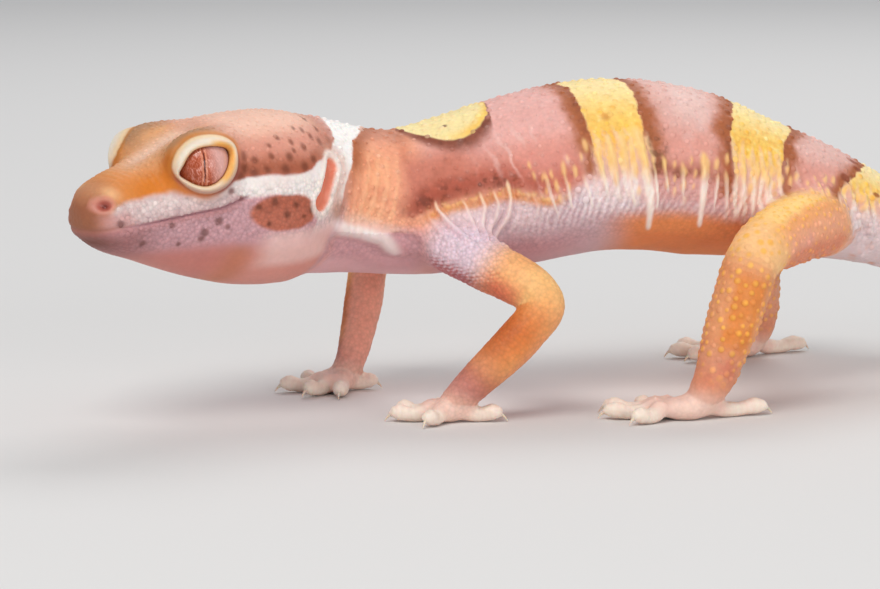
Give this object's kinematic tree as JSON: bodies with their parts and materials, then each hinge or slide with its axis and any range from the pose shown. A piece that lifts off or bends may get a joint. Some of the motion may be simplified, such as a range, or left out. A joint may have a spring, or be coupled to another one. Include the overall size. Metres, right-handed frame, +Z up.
{
  "type": "leopard gecko",
  "caption": "Still, life-size leopard gecko standing on spread feet with a raised trunk, its head turned to its left and its tail laid on the floor.",
  "frame": {"origin": "on the floor, under the middle of the whole animal's box", "axes": "+Z up, the animal faces -Y, its left side is +X"},
  "size_m": [0.0469, 0.1507, 0.0343],
  "materials": {
    "skin": "matte granular skin with banding in orange, brown, yellow, pink and white",
    "eye": "wet gloss"
  },
  "bodies": {
    "root": {"head": "skin", "lower_jaw": "skin", "neck": "skin", "chest": "skin", "belly": "skin", "hips": "skin", "tail_base": "skin", "tail_middle": "skin", "tail_end": "skin", "upper_arm_left": "skin", "forearm_left": "skin", "hand_left": "skin", "upper_arm_right": "skin", "forearm_right": "skin", "hand_right": "skin", "thigh_left": "skin", "shank_left": "skin", "foot_left": "skin", "thigh_right": "skin", "shank_right": "skin", "foot_right": "skin", "eye_left": "eye", "eye_right": "eye"}
  },
  "joints": []
}
